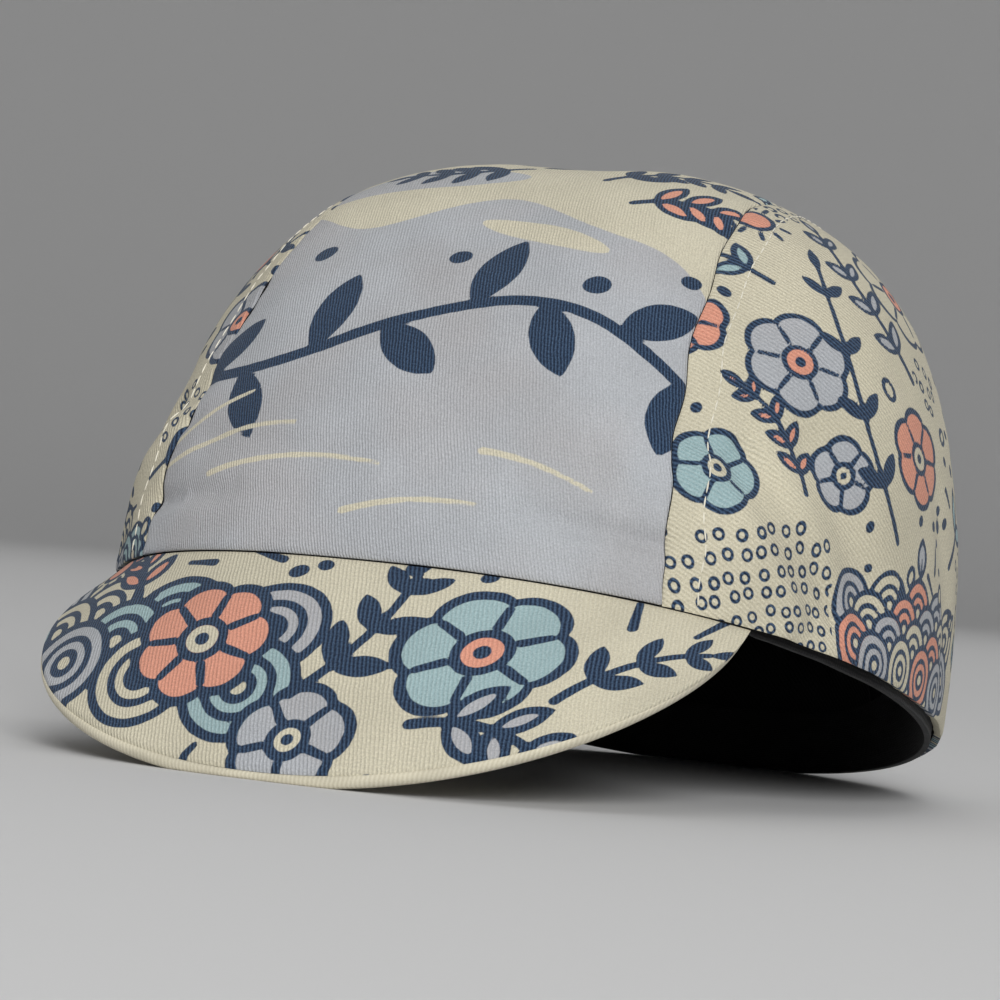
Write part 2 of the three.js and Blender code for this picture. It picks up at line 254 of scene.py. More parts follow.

# %% [markdown]
# ## Camera first
# The view is fixed before any piece is dressed: a long lens, just above the floor, a quarter round
# to the wearer's left and turned a little in its axis.

# %% Camera
CAMERA = {"azimuth": 25.97, "elevation": -0.51, "roll": 5.18, "place": (342.0, -721.8, 46.3)}


def put_in_scene(name, data):
    obj = bpy.data.objects.new(name, data)
    bpy.context.scene.collection.objects.link(obj)
    return obj


def make_camera():
    az, el, roll = (math.radians(CAMERA[k]) for k in ("azimuth", "elevation", "roll"))
    back = Vector((math.sin(az) * math.cos(el), -math.cos(az) * math.cos(el), math.sin(el)))
    right = Vector((math.cos(az), math.sin(az), 0))
    up = back.cross(right)
    x = math.cos(roll) * right + math.sin(roll) * up
    y = -math.sin(roll) * right + math.cos(roll) * up
    place = Matrix((x, y, back)).transposed().to_4x4()
    place.translation = Vector(CAMERA["place"]) / 1000
    data = bpy.data.cameras.new("camera")
    data.sensor_width, data.lens = 36, 144
    data.clip_start, data.clip_end = 0.01, 50
    camera = put_in_scene("camera", data)
    camera.matrix_world = place
    bpy.context.scene.camera = camera
    return camera


camera = make_camera()
print("the camera is", round(camera.matrix_world.translation.z * 1000), "mm above the floor")

# %% [markdown]
# ## A print made of distances
# Printed cotton has crisp edges between flat inks. A picture would give them, and so does something
# lighter: for each ink, every point of the cloth keeps its distance in millimetres to the nearest
# edge of that ink, less than 0 inside it. Distances change evenly across a face, so the shader can
# find the exact edge between the points. Laying one shape over another is a minimum and a maximum.

# %% Inks and shapes
INKS = ("grey", "teal", "coral", "navy")  # in the order they are printed


def bare_cloth(count):
    return {name: np.full(count, 40.0) for name in INKS}


def lay(ink, colour, shape):
    """Prints a shape in one ink, or in the cloth's own cream; the inks printed before it run on below."""
    order = INKS.index(colour) if colour in INKS else -1
    for name in INKS[order + 1:]:
        ink[name] = np.maximum(ink[name], -shape)
    if order >= 0:
        ink[colour] = np.minimum(ink[colour], shape)


def outlined(ink, colour, shape, line=1.1):
    lay(ink, "navy", shape - line / 2)
    lay(ink, colour, shape + line / 2)
    if colour != "cream":
        ink[colour] = np.minimum(ink[colour], shape)


def turned(p, at, degrees):
    a = math.radians(degrees)
    q = p - np.array(at, float)
    return np.stack([q[:, 0] * math.cos(a) + q[:, 1] * math.sin(a),
                     q[:, 1] * math.cos(a) - q[:, 0] * math.sin(a)], -1)


def disc(p, at, radius):
    return np.hypot(*(p - np.array(at, float)).T) - radius


def heading(degrees):
    a = math.radians(degrees)
    return np.array([math.cos(a), math.sin(a)])


def oval(p, at, half, degrees=0):
    q = turned(p, at, degrees)
    near, slope = np.hypot(*(q / half).T), np.hypot(*(q / np.square(half)).T)
    return near * (near - 1) / np.maximum(slope, 1e-6)


def leaf(p, root, degrees, length, width):
    """An almond: where two equal discs overlap."""
    radius = (length**2 + width**2) / (4 * width)
    q = turned(p, root, degrees) - np.array([length / 2, 0])
    lift = radius - width / 2
    return np.hypot(q[:, 0], np.abs(q[:, 1]) + lift) - radius


def stroke(p, path, start, end=None):
    """A brush line through points, as wide at its start and its end as asked."""
    path = np.array(path, float)
    end = start if end is None else end
    best = np.full(len(p), 60.0)
    steps = len(path) - 1
    for i in range(steps):
        line = path[i + 1] - path[i]
        t = np.clip((p - path[i]) @ line / (line @ line), 0, 1)
        off = p - path[i] - t[:, None] * line
        half = (start + (end - start) * (i + t) / steps) / 2
        best = np.minimum(best, np.hypot(*off.T) - half)
    return best


def blossom(p, at, radius, petals, degrees=0, depth=0.16):
    q = turned(p, at, degrees)
    r, a = np.hypot(*q.T), np.arctan2(q[:, 1], q[:, 0])
    edge = radius * (1 - depth + depth * np.abs(np.cos(a * petals / 2)) ** 0.7)
    return (r - edge) * 0.85


def curve(start, end, bow, count=9):
    """Points on a bowed line from start to end."""
    start, end = np.array(start, float), np.array(end, float)
    t = np.linspace(0, 1, count)[:, None]
    side = np.array([start[1] - end[1], end[0] - start[0]])
    return start + (end - start) * t + side * bow * 4 * t * (1 - t)


print("inks:", ", ".join(INKS))

# %% [markdown]
# ## Motifs
# The print is a garden drawn with a brush: blossoms, leafy sprigs, scallop waves, small suns and
# rings like pebbles. Each motif is a few shapes laid over each other, largest first, as a printer
# lays the inks, and takes its size, so that the same hand draws the bold peak and the fine sides.


# %% Motifs
def flower(ink, p, at, radius, petals, fill, heart, degrees=0, line=1.1):
    outlined(ink, fill, blossom(p, at, radius, petals, degrees), line)
    for k in range(petals):
        way = heading(degrees + 360 * (k + 0.5) / petals)
        path = [np.array(at) + way * radius * 0.42, np.array(at) + way * radius * 0.74]
        lay(ink, "navy", stroke(p, path, line, line * 0.85))
    outlined(ink, heart, disc(p, at, radius * 0.3), line)
    lay(ink, "navy", disc(p, at, radius * 0.1))


def inked(ink, fill, shape, line):
    """A plain navy shape, or one in another ink with a navy outline."""
    if fill == "navy":
        lay(ink, "navy", shape)
    else:
        outlined(ink, fill, shape, line)


def sprig(ink, p, path, size, fill, line=1.1, pairs=4):
    lay(ink, "navy", stroke(p, path, line * 1.3, line * 0.9))
    path = np.array(path, float)
    for k in range(pairs):
        s = (k + 0.8) / (pairs + 0.3) * (len(path) - 1)
        i = min(int(s), len(path) - 2)
        root = path[i] + (path[i + 1] - path[i]) * (s - i)
        way = math.degrees(math.atan2(*(path[i + 1] - path[i])[::-1]))
        length = size * (1 - 0.35 * k / pairs)
        for side in (-1, 1):
            inked(ink, fill, leaf(p, root, way + side * 48, length, length * 0.42), line)
    way = math.degrees(math.atan2(*(path[-1] - path[-2])[::-1]))
    inked(ink, fill, leaf(p, path[-1], way, size * 0.75, size * 0.3), line)


def waves(ink, p, at, radius, rows, columns, fills, line=1.1):
    """Rows of scallops, the nearer row over the one behind, each with a smaller arc inside."""
    for row in range(rows):
        for k in range(columns - row % 2):
            x = at[0] + (2 * k + row % 2) * radius
            centre = (x, at[1] + (rows - 1 - row) * radius * 0.62)
            dome = disc(p, centre, radius * 0.98)
            outlined(ink, fills[(row + k) % len(fills)], dome, line)
            arc = np.abs(disc(p, centre, radius * 0.58)) - line * 0.45
            lay(ink, "navy", arc)
            outlined(ink, "cream", disc(p, centre, radius * 0.24), line)


def sun(ink, p, at, radius, fill, rays=10, line=1.0):
    outlined(ink, fill, disc(p, at, radius), line)
    for k in range(rays):
        way = heading(360 * k / rays)
        path = [np.array(at) + way * radius * 1.45, np.array(at) + way * radius * 1.95]
        lay(ink, "navy", stroke(p, path, line, line * 0.9))


def pebble(ink, p, at, radius, degrees, line=1.0):
    outlined(ink, "cream", oval(p, at, (radius, radius * 0.72), degrees), line)


def bud(ink, p, at, size, degrees, fill, line=1.0):
    outlined(ink, fill, leaf(p, at, degrees, size, size * 0.55), line)
    vein = [at, np.array(at) + size * 0.5 * heading(degrees)]
    lay(ink, "navy", stroke(p, vein, line * 0.8, line * 0.4))


SMALL_SIZES = {"pebble": 2.0, "dot": 1.2, "dash": 2.4, "bud": 4.2, "star": 3.8, "bloom": 6.6, "twig": 6.4}


def scatter(ink, p, taken, box, count, seed, kinds, line=1.0):
    """Fills what room is left with small motifs that keep clear of the ones already laid.

    Dashes and twigs take the drawn turn as radians, which only shuffles their directions.
    """
    rng = np.random.default_rng(seed)
    laid = 0
    for _ in range(count):
        at = rng.uniform(box[0], box[1])
        kind = kinds[rng.integers(len(kinds))]
        size = SMALL_SIZES[kind] * (rng.uniform(0.85, 1.2) * line)
        turn = rng.uniform(0, 360)
        if any(math.dist(at, c) < r + size + 0.6 * line for c, r in taken):
            continue
        taken.append((tuple(at), size))
        laid += 1
        if kind == "pebble":
            pebble(ink, p, at, size, turn, line)
        elif kind == "dot":
            lay(ink, "navy", oval(p, at, (size, size * 0.8), turn))
        elif kind == "dash":
            way = heading(math.degrees(turn)) * size
            lay(ink, "navy", stroke(p, [at - way, at + way], 1.3 * line, 0.85 * line))
        elif kind == "bud":
            root = at - heading(turn) * size
            bud(ink, p, root, 2 * size, turn, ("coral", "teal", "grey")[rng.integers(3)], line)
        elif kind == "star":
            fill = ("cream", "coral", "teal")[rng.integers(3)]
            flower(ink, p, at, size, 5, fill, "cream", turn, 0.9 * line)
        elif kind == "bloom":
            fill = ("grey", "coral", "teal", "cream")[rng.integers(4)]
            flower(ink, p, at, size, int(rng.integers(5, 8)), fill, "cream", turn, line)
        elif kind == "twig":
            way = heading(math.degrees(turn)) * size
            fill = ("navy", "grey")[rng.integers(2)]
            sprig(ink, p, curve(at - way, at + way, 0.15, 5), size * 0.68, fill, line, 3)
    return laid


# %% [markdown]
# ## Cloth in the shader
# All the printed pieces share one way of making a finish, built from a few small helpers that add a
# node and join it up. A finish worked out from the place on the cloth needs no picture, and it stays
# sharp however near the camera comes.

# %% Shader helpers
def new_material(name, roughness, sheen):
    material = bpy.data.materials.new(name)
    material.use_nodes = True
    tree = material.node_tree
    shader = tree.nodes["Principled BSDF"]
    shader.inputs["Roughness"].default_value = roughness
    shader.inputs["Specular IOR Level"].default_value = 0.22
    shader.inputs["Sheen Weight"].default_value = sheen
    shader.inputs["Sheen Roughness"].default_value = 0.45
    return material, tree, shader


def node(tree, kind, **values):
    made = tree.nodes.new(kind)
    for key, value in values.items():
        if hasattr(made, key):
            setattr(made, key, value)
        else:
            made.inputs[key].default_value = value
    return made


def calc(tree, operation, *terms):
    """A math node whose terms are sockets or plain numbers."""
    made = tree.nodes.new("ShaderNodeMath")
    made.operation = operation
    for slot, term in zip(made.inputs, terms):
        if isinstance(term, (int, float)):
            slot.default_value = term
        else:
            tree.links.new(term, slot)
    return made.outputs[0]


def ramp(tree, value, low, high, out_low=0.0, out_high=1.0):
    made = tree.nodes.new("ShaderNodeMapRange")
    made.interpolation_type = "SMOOTHSTEP"
    tree.links.new(value, made.inputs["Value"])
    for key, number in zip(("From Min", "From Max", "To Min", "To Max"), (low, high, out_low, out_high)):
        made.inputs[key].default_value = number
    return made.outputs["Result"]


def mix(tree, factor, a, b, blend="MIX"):
    made = tree.nodes.new("ShaderNodeMix")
    made.data_type, made.blend_type = "RGBA", blend
    for slot, term in zip((made.inputs[0], made.inputs[6], made.inputs[7]), (factor, a, b)):
        if isinstance(term, (int, float)):
            slot.default_value = term
        elif isinstance(term, tuple):
            slot.default_value = (*term, 1)
        else:
            tree.links.new(term, slot)
    return made.outputs[2]


def noise(tree, vector, scale, detail=2.0, rough=0.5):
    made = node(tree, "ShaderNodeTexNoise", Scale=scale, Detail=detail, Roughness=rough)
    tree.links.new(vector, made.inputs["Vector"])
    return made.outputs["Fac"]


def on_points(tree, name, output="Fac"):
    """A value that was stored on the points of the mesh."""
    return node(tree, "ShaderNodeAttribute", attribute_name=name).outputs[output]


def apart(tree, vector):
    made = node(tree, "ShaderNodeSeparateXYZ")
    tree.links.new(vector, made.inputs[0])
    return made.outputs


def finish_cloth(tree, shader, colour, tone, height, relief, rough, strength, depth):
    """Joins colour, brightness, roughness and the relief of the threads to the shader."""
    bright = node(tree, "ShaderNodeCombineXYZ")
    for slot in bright.inputs:
        tree.links.new(tone, slot)
    tree.links.new(mix(tree, 1.0, colour, bright.outputs[0], "MULTIPLY"), shader.inputs["Base Color"])
    tree.links.new(ramp(tree, height, 0.0, 1.0, *rough), shader.inputs["Roughness"])
    bump = node(tree, "ShaderNodeBump", Strength=strength, Distance=depth)
    tree.links.new(relief, bump.inputs["Height"])
    tree.links.new(bump.outputs[0], shader.inputs["Normal"])


print("shader helpers are ready")

# %% [markdown]
# ## Twill
# Twill has fine slanting ribs, each one plaited from thread that dips under at every turn. Here the
# ribs are a sine wave across the cloth's own millimetres and the dips a second one along them, so the
# weave follows the cloth over every fold. Noise bends both and wears the ribs down in patches, since
# two clean waves would look like a printed grid.


# %% Twill
def twill(tree, thread, degrees, rib, breaks):
    """Height of the ribs alone and of the plaited thread, both from 0 to 1."""
    spin = node(tree, "ShaderNodeMapping", vector_type="POINT", Rotation=(0, 0, math.radians(degrees)))
    tree.links.new(thread, spin.inputs["Vector"])
    parts = apart(tree, spin.outputs[0])
    wander = calc(tree, "MULTIPLY", noise(tree, thread, 0.16, 3.0, 0.6), 7.0)
    across = calc(tree, "ADD", calc(tree, "MULTIPLY", parts["X"], 2 * math.pi / rib), wander)
    worn = ramp(tree, noise(tree, thread, 0.8, 3.0, 0.7), 0.3, 0.7, 0.28, 0.5)
    ribs = calc(tree, "MULTIPLY_ADD", calc(tree, "SINE", across), worn, 0.5)
    count = calc(tree, "FLOOR", calc(tree, "DIVIDE", across, 2 * math.pi))
    shift = calc(tree, "MULTIPLY", count, 2.1)
    along = calc(tree, "MULTIPLY_ADD", parts["Y"], 2 * math.pi / breaks, shift)
    along = calc(tree, "MULTIPLY_ADD", noise(tree, thread, 0.9, 2.0), 9.0, along)
    plait = calc(tree, "MULTIPLY_ADD", calc(tree, "SINE", along), 0.5, 0.5)
    height = calc(tree, "MULTIPLY", ribs, calc(tree, "MULTIPLY_ADD", plait, 0.35, 0.65))
    return ribs, height


print("twill: a rib and how its thread is plaited")

# %% [markdown]
# ## Colours and pebble beds
# Each ink has a colour and a second one for the furrows between its ribs. On the navy that second colour
# is its pale bare thread, and the navy is so dark that this thread tells most; on the cream and the
# lighter inks it is darker, painted shade in the furrows. The fine beds of pebble rings on the sides are
# found in the shader: a cell pattern scatters centres, a ring is drawn at a set distance from each, and a
# ring is kept whole when its centre lies in one of a few ovals. That costs nothing in points of the mesh.

# %% Colours and pebbles
COLOURS = {
    "cream": (0.664, 0.622, 0.486),
    "navy": (0.006, 0.015, 0.038),
    "grey": (0.474, 0.490, 0.512),
    "warm grey": (0.462, 0.458, 0.466),
    "teal": (0.375, 0.500, 0.510),
    "coral": (0.760, 0.360, 0.255),
}
# Furrow colours: on the navy the pale bare thread, on the cream and the other inks a darker colour, which is
# painted shade in the furrows.
FURROW_SHADE_AND_BARE_THREAD = {  # what a furrow between two ribs looks like in each ink
    "cream": (0.480, 0.438, 0.320),
    "navy": (0.060, 0.105, 0.180),
    "grey": (0.325, 0.340, 0.365),
    "teal": (0.240, 0.360, 0.380),
    "coral": (0.560, 0.230, 0.160),
}


PEBBLE_STEP, PEBBLE_RADIUS, PEBBLE_HALF_LINE, PEBBLE_BEND = 3.7, 0.9, 0.27, 8.0
PEBBLE_BEDS = [  # middle, half width and half height
    ((-62, 18), (23, 14)), ((-4, 64), (8, 6)), ((29, 34), (15, 6)),
    ((66, 46), (10, 8)), ((-84, 66), (8, 16)), ((-30, 104), (16, 6)),
]


def pebble_rings(tree, thread):
    """How far a point lies off the line of a pebble ring, in millimetres."""
    cells = node(tree, "ShaderNodeTexVoronoi", voronoi_dimensions="2D", feature="F1",
                 Scale=1 / PEBBLE_STEP, Randomness=0.34)
    place, bent = apart(tree, thread), node(tree, "ShaderNodeCombineXYZ")
    for axis, scale in enumerate((0.022, 0.028)):
        bend = calc(tree, "MULTIPLY", noise(tree, thread, scale, 0.0), PEBBLE_BEND)
        tree.links.new(calc(tree, "ADD", place[axis], bend), bent.inputs[axis])
    tree.links.new(bent.outputs[0], cells.inputs["Vector"])
    reach = calc(tree, "MULTIPLY", cells.outputs["Distance"], PEBBLE_STEP)
    off_ring = calc(tree, "ABSOLUTE", calc(tree, "SUBTRACT", reach, PEBBLE_RADIUS))
    ring = calc(tree, "SUBTRACT", off_ring, PEBBLE_HALF_LINE)
    off_beds = 9.0
    for (x, y), half in PEBBLE_BEDS:
        middle_of_bed = (x + PEBBLE_BEND / 2, y + PEBBLE_BEND / 2, 0)
        bed = node(tree, "ShaderNodeMapping", vector_type="TEXTURE", Location=middle_of_bed, Scale=(*half, 1))
        tree.links.new(cells.outputs["Position"], bed.inputs["Vector"])
        length = node(tree, "ShaderNodeVectorMath", operation="LENGTH")
        tree.links.new(bed.outputs[0], length.inputs[0])
        off_beds = calc(tree, "MINIMUM", off_beds, calc(tree, "SUBTRACT", length.outputs["Value"], 1.0))
    outside = calc(tree, "MULTIPLY_ADD", calc(tree, "GREATER_THAN", off_beds, 0.0), 9.0, -5.0)
    return calc(tree, "MAXIMUM", calc(tree, "MAXIMUM", ring, on_points(tree, "clear_of_ink")), outside)


print("beds of pebbles:", len(PEBBLE_BEDS))

# %% [markdown]
# ## Printed and plain cloth
# The printed finish lays one ink after another over the cream, each where its stored distance is
# less than 0. A little noise in that distance lets the ink bleed along the threads, so no edge is
# perfectly clean. The same waves of the twill raise the ribs in the bump, lighten the navy where bare
# thread shows, and paint shade into the furrows of the cream and the lighter inks. Plain cloth is the
# same without inks, and its furrows get painted shade too.


# %% Printed and plain cloth
def printed_cloth(name, degrees, rib, furrow, pebbled=False):
    material, tree, shader = new_material(name, 0.86, 0.08)
    thread = on_points(tree, "thread", "Vector")
    _, height = twill(tree, thread, degrees, rib, 1.1)
    fuzz = noise(tree, thread, 3.2, 3.0, 0.65)
    low = calc(tree, "SUBTRACT", 1.0, height)
    bare = calc(tree, "MULTIPLY", low, ramp(tree, fuzz, 0.25, 0.75, 0.4, 1.0))
    # shows: how much painted shade the furrows of the cream and the lighter inks get, scaled by furrow; the
    # navy takes bare, its pale thread, instead.
    shows = calc(tree, "MULTIPLY", bare, furrow)
    bare = ramp(tree, bare, 0.12, 0.8)
    wobble = calc(tree, "MULTIPLY_ADD", noise(tree, thread, 0.3, 2.0), 0.36, -0.18)
    bleed = calc(tree, "MULTIPLY_ADD", fuzz, 0.2, calc(tree, "SUBTRACT", wobble, 0.14))

    def print_ink(below, distance, ink, plain):
        edge = ramp(tree, calc(tree, "ADD", distance, bleed), -0.13, 0.13, 1.0, 0.0)
        seen = bare if ink == "navy" else shows
        return mix(tree, edge, below, mix(tree, seen, plain, FURROW_SHADE_AND_BARE_THREAD[ink]))

    warmth = ramp(tree, noise(tree, thread, 0.028, 2.0), 0.38, 0.62)
    # The cream ground, darker in its furrows: painted shade.
    colour = mix(tree, shows, COLOURS["cream"], FURROW_SHADE_AND_BARE_THREAD["cream"])
    for ink in INKS:
        plain = COLOURS[ink]
        if ink == "grey":
            plain = mix(tree, warmth, plain, COLOURS["warm grey"])
        colour = print_ink(colour, on_points(tree, ink), ink, plain)
    if pebbled:
        colour = print_ink(colour, pebble_rings(tree, thread), "navy", COLOURS["navy"])
    patch = ramp(tree, noise(tree, thread, 0.045, 3.0), 0.3, 0.7, 0.94, 1.05)
    speck = ramp(tree, noise(tree, thread, 2.3, 4.0, 0.9), 0.36, 0.64, 0.82, 1.13)
    tone, relief = calc(tree, "MULTIPLY", patch, speck), calc(tree, "MULTIPLY_ADD", fuzz, 0.5, height)
    finish_cloth(tree, shader, colour, tone, height, relief, (0.95, 0.78), 0.9, 0.0002)
    return material


def plain_cloth(name, colour, furrow_shade_colour, degrees, rib, breaks, roughness=0.9, sheen=0.15, depth=0.0001):
    material, tree, shader = new_material(name, roughness, sheen)
    thread = on_points(tree, "thread", "Vector")
    ribs, height = twill(tree, thread, degrees, rib, breaks)
    fuzz = noise(tree, thread, 3.0, 3.0, 0.65)
    low = calc(tree, "SUBTRACT", 1.0, ribs)
    # The furrows between the ribs take the darker colour: painted shade.
    shade = calc(tree, "MULTIPLY", low, ramp(tree, fuzz, 0.2, 0.8, 0.4, 1.0))
    tone = ramp(tree, noise(tree, thread, 0.08, 3.0), 0.3, 0.7, 0.9, 1.08)
    relief = calc(tree, "MULTIPLY_ADD", fuzz, 0.4, height)
    colour = mix(tree, shade, colour, furrow_shade_colour)
    finish_cloth(tree, shader, colour, tone, height, relief, (0.98, 0.82), 0.6, depth)
    return material


front_print = printed_cloth("center_panel_print", -17, 0.62, 0.55)
side_print = printed_cloth("side_panel_print", -44, 0.82, 1.1, True)
peak_print = printed_cloth("peak_print", -20, 0.78, 0.8)
# The inside is near black: painted shade of the hollow, and in the seams a painted shadow line.
inside_painted_shade = plain_cloth("inside_painted_shade", (0.006, 0.006, 0.007), (0.003, 0.003, 0.003), 45, 1.0, 1.2)
print("materials:", [m.name for m in bpy.data.materials])

# %% [markdown]
# ## From a grid to a panel
# Every panel is cut from flat cloth, so it starts as Blender's own grid. The grid's flat places say
# which row and column a point belongs to, and one function moves all of them onto the skin. A
# Solidify modifier then gives the wall, inwards, with the near-black inside, painted shade of the
# hollow, as its second material, and a narrow Bevel rounds the raw corners of the edge. Both are
# applied, so what is seen is plain mesh. Last, the folded edge and the hem of a printed panel get the
# print back, as on cut and sewn cloth; where the edges of two panels face each other across a seam they
# keep the near-black, a painted shadow line along the seam.


# %% Grid pieces
def written(bm, name):
    mesh = bpy.data.meshes.new(name)
    bm.to_mesh(mesh)
    bm.free()
    return mesh


def grid_mesh(name, columns, rows, place):
    """A grid moved by place(s, t), with s and t from 0 to 1; place gives points in the cap's frame."""
    bm = bmesh.new()
    bmesh.ops.create_grid(bm, x_segments=columns, y_segments=rows, size=0.5)
    flat = np.array([v.co for v in bm.verts])[:, :2] + 0.5
    points = place(flat[:, 0], flat[:, 1])
    for v, co in zip(bm.verts, on_floor(points)):
        v.co = co
    return written(bm, name), flat, points


def store(mesh, name, values):
    kind, key = ("FLOAT_VECTOR", "vector") if values.ndim == 2 else ("FLOAT", "value")
    mesh.attributes.new(name, kind, "POINT").data.foreach_set(key, values.astype(np.float32).ravel())


def store_thread(mesh, across, along):
    """The place of each point on the flat cloth, in millimetres."""
    store(mesh, "thread", np.column_stack([across, along, np.zeros(len(across))]))


def welded(mesh, near):
    """The mesh opened again, with points merged that lie nearer than this many metres."""
    bm = bmesh.new()
    bm.from_mesh(mesh)
    bmesh.ops.remove_doubles(bm, verts=bm.verts, dist=near)
    bmesh.ops.dissolve_degenerate(bm, dist=1e-7, edges=bm.edges)
    return bm


def weld_and_face_out(mesh, outward, near=2e-6):
    """Merges points that fell together, then turns the faces so that they point along outward."""
    bm = welded(mesh, near)
    bm.normal_update()
    facing = sum(f.normal.dot(outward(f.calc_center_median())) * f.calc_area() for f in bm.faces)
    if facing < 0:
        bmesh.ops.reverse_faces(bm, faces=bm.faces)
    bm.to_mesh(mesh)
    bm.free()


def wall(mesh, name, thickness, materials, rounding=0.3):
    """Gives a sheet its wall, inwards, and rounds the corners of its edge."""
    obj = put_in_scene(name, mesh)
    for material in materials:
        mesh.materials.append(material)
    solid = obj.modifiers.new("wall", "SOLIDIFY")
    solid.thickness, solid.offset = thickness / 1000, -1
    solid.material_offset = solid.material_offset_rim = len(materials) - 1
    round_edge = obj.modifiers.new("round edge", "BEVEL")
    round_edge.width, round_edge.segments = rounding / 1000, 2
    round_edge.limit_method, round_edge.angle_limit = "ANGLE", math.radians(55)
    bpy.context.view_layer.update()
    graph = bpy.context.evaluated_depsgraph_get()
    evaluated = obj.evaluated_get(graph)
    made = bpy.data.meshes.new_from_object(evaluated, preserve_all_data_layers=True, depsgraph=graph)
    obj.modifiers.clear()
    obj.data = made
    made.name = name
    made.shade_smooth()
    triangles = sum(len(f.vertices) - 2 for f in made.polygons)
    area = sum(f.area for f in made.polygons) / 2
    print(f"{name}: {triangles} triangles, half its area {area * 1e4:.1f} cm2")
    return obj


def print_on_edges(obj):
    """The rounded edge of a panel and its hem are the folded print; what faces inwards is near black, painted
    shade of the hollow, and so are the sides of the edge in a seam, a painted shadow line.
    """
    back = np.array(STAND.inverted())
    centres = np.array([f.center for f in obj.data.polygons]) * 1000 @ back[:3, :3].T + back[:3, 3]
    facing = np.array([f.normal for f in obj.data.polygons]) @ back[:3, :3].T
    outward = np.sum(facing * crown_normal(centres), -1)
    printed = (outward > 0.2) | ((centres[:, 2] < 0.35) & (facing[:, 2] < -0.5))
    obj.data.polygons.foreach_set("material_index", np.where(printed, 0, 1).astype(np.int32))


def dress(obj, node_name):
    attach(obj, "root")
    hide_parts(node_name)


# %% [markdown]
# ## Centre panel
# One long strip of cloth. Its points keep their place on the strip in millimetres: across, measured
# along each row from the middle, and along, measured down the middle from the brow. The print and
# the twill both read that place, so a leaf isn't stretched where the crown curves.

# %% Centre panel
CLOTH = 1.6
CENTRE_COLUMNS, CENTRE_ROWS = 122, 370
MEAN_RADIUS = 90  # of the crown, which turns an angle into millimetres near the hem


def arc_lengths(points, axis):
    steps = np.linalg.norm(np.diff(points, axis=axis), axis=-1)
    return np.concatenate([np.zeros_like(np.take(steps, [0], axis)), np.cumsum(steps, axis)], axis)


def centre_place(s, t):
    p = lengthwise(t * math.pi, 2 * s - 1, -SEAM_GAP / 2)
    off_edge = (1 - np.abs(2 * s - 1)) * seam_x(p[:, 1], p[:, 2])
    off_hem = np.minimum(t, 1 - t) * math.pi * MEAN_RADIUS
    return cloth_skin(p, CENTRE_SEED, np.minimum(off_edge, off_hem))


mesh, flat, points = grid_mesh("center_panel", CENTRE_COLUMNS, CENTRE_ROWS, centre_place)
order = np.lexsort((np.round(flat[:, 0] * CENTRE_COLUMNS), np.round(flat[:, 1] * CENTRE_ROWS)))
rows = points[order].reshape(CENTRE_ROWS + 1, CENTRE_COLUMNS + 1, 3)
across = arc_lengths(rows, 1)
across -= across[:, [CENTRE_COLUMNS // 2]]
along = np.repeat(arc_lengths(rows[:, [CENTRE_COLUMNS // 2]], 0), CENTRE_COLUMNS + 1, 1)
centre_uv = np.empty((len(points), 2))
centre_uv[order] = np.stack([across.ravel(), along.ravel()], -1)
STRIP = float(along.max())
print("the strip is", round(STRIP), "mm long and up to", round(float(np.ptp(across, 1).max())), "mm wide")

# %% [markdown]
# The front of the strip is one wide grey-blue field with a waved upper edge, like a hill in mist. A
# bold garland crosses it, and a few thin ripples are left bare. Over the top the cloth is cream with
# brushed leaves in navy and coral, and the nape gets a field of its own.


# %% Print of the centre panel
LEAVES = [  # across, side of the stem, length
    (-52, 1, 17), (-40, -1, 19), (-24, 1, 20), (-10, -1, 18),
    (6, 1, 20), (20, -1, 19), (36, 1, 17), (50, -1, 18),
]
BERRIES = [  # across, along, radius
    (-33, 72, 2.2), (-2, 70, 2.0), (28, 66, 2.4), (44, 75, 1.8), (-50, 76, 1.8),
]
RIPPLES = [  # across, along, length, tilt
    (-38, 24, 34, 3), (-20, 18, 40, 1), (8, 11, 26, 2), (-44, 31, 20, 4), (30, 22, 22, -2),
    (-30, STRIP - 20, 30, 3), (20, STRIP - 30, 36, -2), (0, STRIP - 12, 24, 1),
]
TOP_SPRIGS = [  # across, along, heading, ink
    (14, 104, 28, "navy"), (24, 94, 8, "coral"), (-6, 112, 200, "navy"), (-30, 128, 20, "coral"),
    (6, 122, 160, "navy"), (34, 138, 200, "coral"), (-8, 150, 40, "navy"), (26, 168, 110, "navy"),
    (-32, 172, 10, "coral"), (0, 196, 70, "navy"), (30, 206, 190, "coral"), (-28, 214, 330, "navy"),
    (8, 234, 20, "coral"),
]
SPRIG_ROOM = [  # across, along: where the small motifs keep clear
    (24, 108), (34, 98), (-18, 108), (-22, 132), (0, 128), (24, 136), (0, 158), (22, 178), (-22, 176),
    (4, 206), (20, 208), (-20, 210), (18, 238),
]


STEM_UP, STEM_WAVE, STEM_RUN, STEM_START = 50, 9, 19, 0.5


def stem_height(x):
    return STEM_UP + STEM_WAVE * math.sin(x / STEM_RUN + STEM_START)


def stem_turn(x):
    return math.degrees(math.atan(STEM_WAVE / STEM_RUN * math.cos(x / STEM_RUN + STEM_START)))


